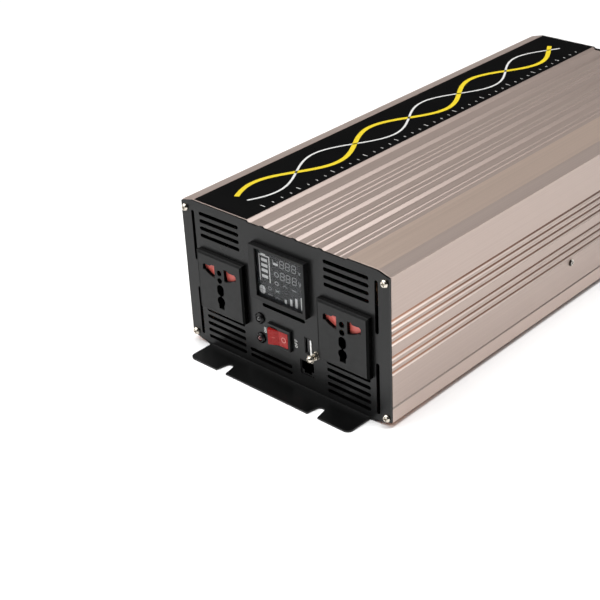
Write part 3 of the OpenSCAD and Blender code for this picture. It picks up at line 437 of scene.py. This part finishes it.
class Sheet:
    """Collects flat shapes as thin prisms on a plane: place(u, v, w) maps plane coordinates and height to a point in mm."""

    def __init__(self, place, thick):
        self.v, self.f, self.place, self.t = [], [], place, thick

    def poly(self, pts):
        n, o = len(pts), len(self.v)
        area = sum(pts[i][0] * pts[(i + 1) % n][1] - pts[(i + 1) % n][0] * pts[i][1] for i in range(n))
        if area < 0:
            pts = pts[::-1]
        self.v += [self.place(u, v, 0.0) for u, v in pts] + [self.place(u, v, self.t) for u, v in pts]
        self.f.append([o + n + i for i in range(n)])
        self.f.append([o + i for i in range(n)][::-1])
        for i in range(n):
            j = (i + 1) % n
            self.f.append([o + i, o + j, o + n + j, o + n + i])

    def rect(self, u0, v0, u1, v1):
        self.poly([(u0, v0), (u1, v0), (u1, v1), (u0, v1)])

    def line(self, pts, w, closed=False):
        """A stroke of width w along the points, one mitred quad per step."""
        n = len(pts)
        L, R = [], []
        for i in range(n):
            a = pts[(i - 1) % n] if closed or i > 0 else pts[i]
            b = pts[(i + 1) % n] if closed or i < n - 1 else pts[i]
            d0 = Vector((pts[i][0] - a[0], pts[i][1] - a[1]))
            d1 = Vector((b[0] - pts[i][0], b[1] - pts[i][1]))
            d0 = d0.normalized() if d0.length > 1e-9 else d1.normalized()
            d1 = d1.normalized() if d1.length > 1e-9 else d0
            n0, n1 = Vector((-d0.y, d0.x)), Vector((-d1.y, d1.x))
            m = (n0 + n1)
            m = m.normalized() if m.length > 1e-6 else n0
            s = w / 2 / max(0.4, m.dot(n0))
            L.append((pts[i][0] + m.x * s, pts[i][1] + m.y * s))
            R.append((pts[i][0] - m.x * s, pts[i][1] - m.y * s))
        # one welded strip
        o = len(self.v)
        for i in range(n):
            self.v += [self.place(*L[i], 0.0), self.place(*R[i], 0.0), self.place(*R[i], self.t), self.place(*L[i], self.t)]
        steps = n if closed else n - 1
        for i in range(steps):
            a, b = o + 4 * i, o + 4 * ((i + 1) % n)
            self.f += [[a + 2, b + 2, b + 3, a + 3], [a + 1, a, b, b + 1], [a, a + 3, b + 3, b], [a + 2, a + 1, b + 1, b + 2]]
        if not closed:
            a, b = o, o + 4 * (n - 1)
            self.f += [[a, a + 1, a + 2, a + 3], [b + 3, b + 2, b + 1, b]]

    def ring(self, u, v, r, w, n=40, squash=1.0):
        self.line([(u + r * math.cos(2 * math.pi * i / n), v + squash * r * math.sin(2 * math.pi * i / n)) for i in range(n)], w, True)

    def disc(self, u, v, r, n=32):
        self.poly([(u + r * math.cos(2 * math.pi * i / n), v + r * math.sin(2 * math.pi * i / n)) for i in range(n)])

    def done(self, name, mat, body="inverter", slot=None):
        ob = add(name, self.v, self.f, mat, body)
        me = ob.data
        import bmesh
        bm = bmesh.new()
        bm.from_mesh(me)
        bmesh.ops.recalc_face_normals(bm, faces=bm.faces)
        bm.to_mesh(me)
        bm.free()
        return ob


# --- shutter springs: the same coils, copied onto objects of their own in place of the imported springs
for side in ("left", "right"):
    coils = bpy.data.objects.new(side + "_shutter_spring_coils", N[side + "_outlet_springs"].data.copy())
    scene.collection.objects.link(coils)
    for p in coils.data.polygons:
        p.use_smooth = True
    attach(coils, "inverter")
    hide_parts(side + "_outlet_springs")
    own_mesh(coils)

# --- display graphics, on the face of the LCD, which lies behind the clear window
LCD_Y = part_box("lcd_module")[0].y / MM


def on_lcd(u, v, w):
    return (u, LCD_Y - 0.01 - w, v)


def seven(sheet, u, v, w, h, t, on, slant=0.08):
    """One seven-segment figure, lower left corner at u, v."""
    g = 0.12
    def q(pts):
        sheet.poly([(u + x + slant * y, v + y) for x, y in pts])
    mid = h / 2
    hx = lambda y: [(t * 0.5 + g, y), (t + g, y + t / 2), (w - t - g, y + t / 2), (w - t * 0.5 - g, y), (w - t - g, y - t / 2), (t + g, y - t / 2)]
    vx = lambda x, y0, y1: [(x, y0 + g), (x + t / 2, y0 + t / 2 + g), (x + t / 2, y1 - t / 2 - g), (x, y1 - g), (x - t / 2, y1 - t / 2 - g), (x - t / 2, y0 + t / 2 + g)]
    segs = {"a": hx(h - t / 2), "g": hx(mid), "d": hx(t / 2), "f": vx(t / 2, mid, h - t / 2), "b": vx(w - t / 2, mid, h - t / 2),
            "e": vx(t / 2, t / 2, mid), "c": vx(w - t / 2, t / 2, mid)}
    for s in on:
        q(segs[s])


bright, middle, dim = Sheet(on_lcd, 0.05), Sheet(on_lcd, 0.05), Sheet(on_lcd, 0.05)
# battery outline with four bars
bright.line([(-20.1, 83.0), (-20.3, 105.2), (-9.9, 105.2), (-10.0, 83.4)], 0.95)
bright.rect(-18.3, 105.7, -13.6, 106.7)
for z in (86.4, 91.3, 95.7, 100.2):
    bright.rect(-18.2, z, -11.9, z + 2.5)
# plain figures
for z, h in ((99.8, 6.7), (89.8, 6.6)):
    for u in (0.5, 6.4, 12.7):
        seven(middle, u, z, 4.6, h, 0.66, "abcdefg")
middle.line([(19.9, 102.5), (20.7, 100.4), (21.6, 102.5)], 0.55)
middle.line([(19.5, 94.3), (20.7, 90.7), (22.0, 94.3)], 0.6)
# plain marks beside the figures
bright.rect(-5.6, 100.6, -0.9, 102.5)
middle.line([(-6.1, 101.0), (-6.1, 104.8)], 0.5)
middle.line([(-1.2, 103.1), (-1.2, 104.6)], 0.7)
middle.ring(-2.9, 92.9, 2.05, 0.7, squash=0.95)
middle.ring(-3.1, 85.4, 1.9, 0.7, squash=0.68)
dim.line([(3.4, 84.7), (5.4, 86.5), (7.6, 84.7)], 0.9)
dim.rect(12.2, 84.4, 16.9, 85.7)
dim.ring(-10.8, 78.7, 1.6, 0.8, squash=0.8)
middle.line([(-4.9, 77.7), (-0.9, 79.7)], 0.6)
middle.line([(-4.9, 79.7), (-0.9, 77.7)], 0.6)
dim.rect(-13.2, 72.5, -8.4, 73.9)
dim.line([(-5.4, 72.0), (-3.2, 73.4), (-0.8, 72.0)], 0.8)
# round mark at the lower left, in four quarters
for q in range(4):
    a = math.pi / 2 * q
    c0 = (-18.7 + 0.17 * (math.cos(a) - math.sin(a)), 75.4 + 0.17 * (math.sin(a) + math.cos(a)))
    bright.poly([c0] + [(c0[0] + 3.0 * math.cos(a + math.pi / 2 * i / 8), c0[1] + 3.4 * math.sin(a + math.pi / 2 * i / 8)) for i in range(9)])
# rising bars
for u, h in ((4.2, 3.4), (9.8, 5.7), (15.2, 7.9), (20.9, 10.5)):
    bright.rect(u, 71.0, u + 2.25, 71.0 + h)
bright.done("display_marks_bright", "lcd_light", slot="lcd_grey")
middle.done("display_marks_middle", "lcd_mid", slot="lcd_grey")
dim.done("display_marks_dim", "lcd_dim", slot="lcd_grey")

# --- marks on the rocker: a bar on the left pad, a ring on the right pad
SWX, SWZ, SWD = -4.1, 38.1, 0.3
A0 = math.radians(12.0)


def on_pad(sign):
    c, s = math.cos(math.radians(11.5)), math.sin(math.radians(11.5))

    def place(u, v, w):
        # u runs outwards along the pad, w out of it along a normal that leans towards the middle
        x = sign * u * c - sign * s * (w + 0.01)
        y = -3.2 - u * s - c * (w + 0.01)
        return (SWX + x * math.cos(A0) - y * math.sin(A0), YF + SWD + x * math.sin(A0) + y * math.cos(A0), SWZ + v)
    return place


s = Sheet(on_pad(-1), 0.05)
s.rect(3.2, -0.32, 5.8, 0.32)
s.done("rocker_bar_mark", "ink_pink", "switch_rocker", "rocker_red")
s = Sheet(on_pad(1), 0.05)
s.ring(4.9, 0.0, 2.05, 0.55)
s.done("rocker_ring_mark", "ink_pale", "switch_rocker", "rocker_red")


# --- ON and OFF beside the switch, turned to read upwards: u runs up the panel, v to the left
def on_panel(x, z):
    return lambda u, v, w: (x - v, YF - 0.005 - w, z + u)


def letter_o(sh, u):
    sh.line([(u + 1.0 + 0.82 * math.cos(2 * math.pi * i / 20), 1.35 + 1.12 * math.sin(2 * math.pi * i / 20)) for i in range(20)], 0.46, True)


def letter_n(sh, u):
    sh.line([(u + 0.23, 0.0), (u + 0.23, 2.45), (u + 1.77, 0.25), (u + 1.77, 2.7)], 0.46)


def letter_f(sh, u):
    sh.line([(u + 0.3, 0.0), (u + 0.3, 2.45), (u + 1.8, 2.45)], 0.46)
    sh.line([(u + 0.3, 1.3), (u + 1.5, 1.3)], 0.44)


sh = Sheet(on_panel(-19.1, 35.7), 0.03)
letter_o(sh, 0.0)
letter_n(sh, 2.6)
sh.done("switch_on_word", "ink_white", slot="panel_paint")
sh = Sheet(on_panel(13.4, 34.5), 0.03)
letter_o(sh, 0.0)
letter_f(sh, 2.7)
letter_f(sh, 5.3)
sh.done("switch_off_word", "ink_white", slot="panel_paint")

# --- label design: two plain waves and a row of short ticks
LAB_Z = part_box("top_label")[1].z / MM


def on_label(u, v, w):
    return (u, v, LAB_Z + 0.005 + w)


def wave(y0, y1, x, amp, period, phase, n):
    return [(x + amp * math.sin(2 * math.pi * (y0 + (y1 - y0) * i / n) / period + phase), y0 + (y1 - y0) * i / n) for i in range(n + 1)]


s = Sheet(on_label, 0.03)
s.line(wave(-214, 216, -63.6, 13.5, 143.3, 0.4, 260), 4.2)
s.done("label_wave_yellow", "ink_yellow", slot="label_film")
s = Sheet(on_label, 0.03)
s.line(wave(-214, 216, -63.6, 13.5, 143.3, 0.4 + math.pi, 260), 2.0)
s.done("label_wave_white", "ink_white", slot="label_film")
s = Sheet(on_label, 0.03)
for i in range(44):
    y = -214 + 10 * i
    s.rect(-41.0 if i % 4 else -43.5, y - 0.35, -38.6, y + 0.35)
s.done("label_ticks", "ink_white", slot="label_film")

# ------------------------------------------------------------------ stage, light, camera

k = Mat("floor_paper")
k.set(Base_Color=k.mix(k.remap(k.noise(9, 4), 0, 1), (0.955, 0.955, 0.955), (0.975, 0.975, 0.975)), Roughness=0.9, Specular_IOR_Level=0.1)
bpy.ops.mesh.primitive_plane_add(size=16, location=(0, 0, -0.00002))
floor = bpy.context.object
floor.name = "floor"
floor.data.materials.append(k.m)


def softbox(name, az, el, dist, size, power, target=(0, 0, 0.06), colour=(1, 1, 1)):
    """Area light; azimuth from +Y towards +X."""
    a, e = math.radians(az), math.radians(el)
    p = Vector(target) + dist * Vector((math.sin(a) * math.cos(e), math.cos(a) * math.cos(e), math.sin(e)))
    d = bpy.data.lights.new(name, "AREA")
    d.shape = "RECTANGLE"
    d.size, d.size_y = size
    d.energy = power
    d.color = colour
    o = bpy.data.objects.new(name, d)
    scene.collection.objects.link(o)
    o.location = p
    o.rotation_euler = (Vector(target) - p).to_track_quat("-Z", "Y").to_euler()
    return o


softbox("key", 47, 44, 2.0, (0.6, 0.6), 9.9)


def spot(name, at, aim, power, cone, blend):
    d = bpy.data.lights.new(name, "SPOT")
    d.energy, d.spot_size, d.spot_blend, d.shadow_soft_size = power, math.radians(cone), blend, 0.25
    o = bpy.data.objects.new(name, d)
    scene.collection.objects.link(o)
    o.location = at
    o.rotation_euler = (Vector(aim) - Vector(at)).to_track_quat("-Z", "Y").to_euler()
    return o


# soft light from above that reaches the floor only, so that the paper stays white beside the casing
fill = spot("floor_fill", (0.44, -0.08, 1.6), (0.19, -0.08, 0), 66, 46, 1.0)
paper = bpy.data.collections.new("paper")
paper.objects.link(floor)
fill.light_linking.receiver_collection = paper

# overhead light tent leaning to the front left, dark towards the horizon
w = bpy.data.worlds.new("studio")
scene.world = w
w.use_nodes = True
wt = w.node_tree
bg = wt.nodes["Background"]
bg.inputs[0].default_value = (1, 1, 1, 1)
wc = wt.nodes.new("ShaderNodeTexCoord")
ws = wt.nodes.new("ShaderNodeVectorMath")
ws.operation = "DOT_PRODUCT"
ws.inputs[1].default_value = (-0.50, -0.25, 0.83)
wr = wt.nodes.new("ShaderNodeMapRange")
wr.interpolation_type = "SMOOTHSTEP"
for key, val in (("From Min", 0.66), ("From Max", 0.92), ("To Min", 0.03), ("To Max", 3.3)):
    wr.inputs[key].default_value = val
wt.links.new(wc.outputs["Generated"], ws.inputs[0])
wt.links.new(ws.outputs["Value"], wr.inputs["Value"])
wt.links.new(wr.outputs[0], bg.inputs[1])

cam_d = bpy.data.cameras.new("camera")
cam = bpy.data.objects.new("camera", cam_d)
scene.collection.objects.link(cam)
cam_d.sensor_width = 36
cam_d.lens = 80.618
cam_d.clip_start, cam_d.clip_end = 0.05, 60
RX, RY, RZ = (0.733196, 0.678466, -0.045904), (0.304425, -0.387845, -0.870001), (-0.60807, 0.623907, -0.490908)
rot = Matrix((RX, [-v for v in RY], [-v for v in RZ])).transposed()
cam.matrix_world = Matrix.Translation(Vector((0.622274, -0.859548, 0.565635))) @ rot.to_4x4()
scene.camera = cam
scene.view_settings.view_transform = "Standard"
scene.view_settings.look = "None"
scene.view_settings.exposure = 0.0
